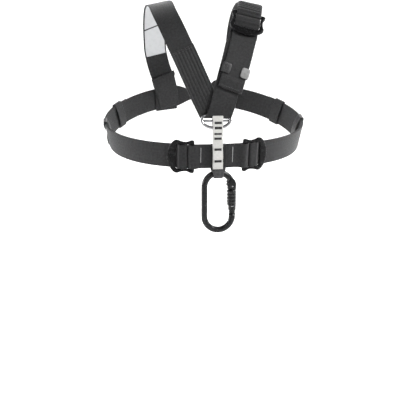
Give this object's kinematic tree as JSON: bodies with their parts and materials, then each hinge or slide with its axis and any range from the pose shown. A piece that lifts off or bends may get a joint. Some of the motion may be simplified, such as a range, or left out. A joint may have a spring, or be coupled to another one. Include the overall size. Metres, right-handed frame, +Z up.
{
  "type": "climbing chest harness",
  "caption": "Chest harness: webbing belt with two chest buckles, crossed shoulder straps, sternal ring, sewn strip and a hanging oval locking carabiner.",
  "frame": {"origin": "midway between the two shoulder tops, where the straps lie on the wearer", "axes": "+Z up, front of the harness towards -Y, +X to the wearer's left"},
  "size_m": [0.3878, 0.2789, 0.4127],
  "materials": {
    "black_webbing": "woven polyester webbing, matt",
    "white_webbing": "off-white woven tape with black bar tacks",
    "grey_webbing": "dark grey woven sleeve",
    "label_cloth": "blank satin label",
    "coated_buckle": "black coated steel, satin",
    "clip_plastic": "moulded, satin",
    "polished_steel": "polished",
    "coated_carabiner": "black anodised, satin"
  },
  "bodies": {
    "harness": {"belt_webbing_left": "black_webbing", "belt_webbing_right": "black_webbing", "belt_centre_band": "black_webbing", "belt_back_band": "black_webbing", "chest_buckle_left": "coated_buckle", "chest_buckle_right": "coated_buckle", "shoulder_buckle": "coated_buckle", "tail_keeper_left": "black_webbing", "tail_keeper_right": "black_webbing", "side_clip_left": "clip_plastic", "side_clip_right": "clip_plastic", "strap_clip": "clip_plastic", "shoulder_strap_left": "black_webbing", "shoulder_strap_right": "black_webbing", "front_strap": "black_webbing", "rear_patch_left": "black_webbing", "rear_patch_right": "black_webbing", "label": "label_cloth", "sternal_ring": "polished_steel", "connection_strip": "white_webbing", "loop_sleeve": "grey_webbing"},
    "carabiner": {"carabiner_body": "coated_carabiner"},
    "gate": {"carabiner_gate": "coated_carabiner"},
    "sleeve": {"locking_sleeve": "coated_carabiner"}
  },
  "joints": [
    {"name": "carabiner_swing", "type": "hinge", "parent": "harness", "child": "carabiner", "pos_m": [0.0048, -0.1245, -0.2978], "axis": [1, 0, 0], "range_deg": [-50, 50]},
    {"name": "gate_hinge", "type": "hinge", "parent": "carabiner", "child": "gate", "pos_m": [0.0302, -0.1245, -0.3233], "axis": [0, 1, 0], "range_deg": [0, 24], "stiffness_Nm_per_rad": 0.2, "springref_deg": -28.65},
    {"name": "sleeve_turn", "type": "hinge", "parent": "gate", "child": "sleeve", "pos_m": [0.0302, -0.1245, -0.3478], "axis": [0, 0, 1], "range_deg": [0, 90]}
  ]
}
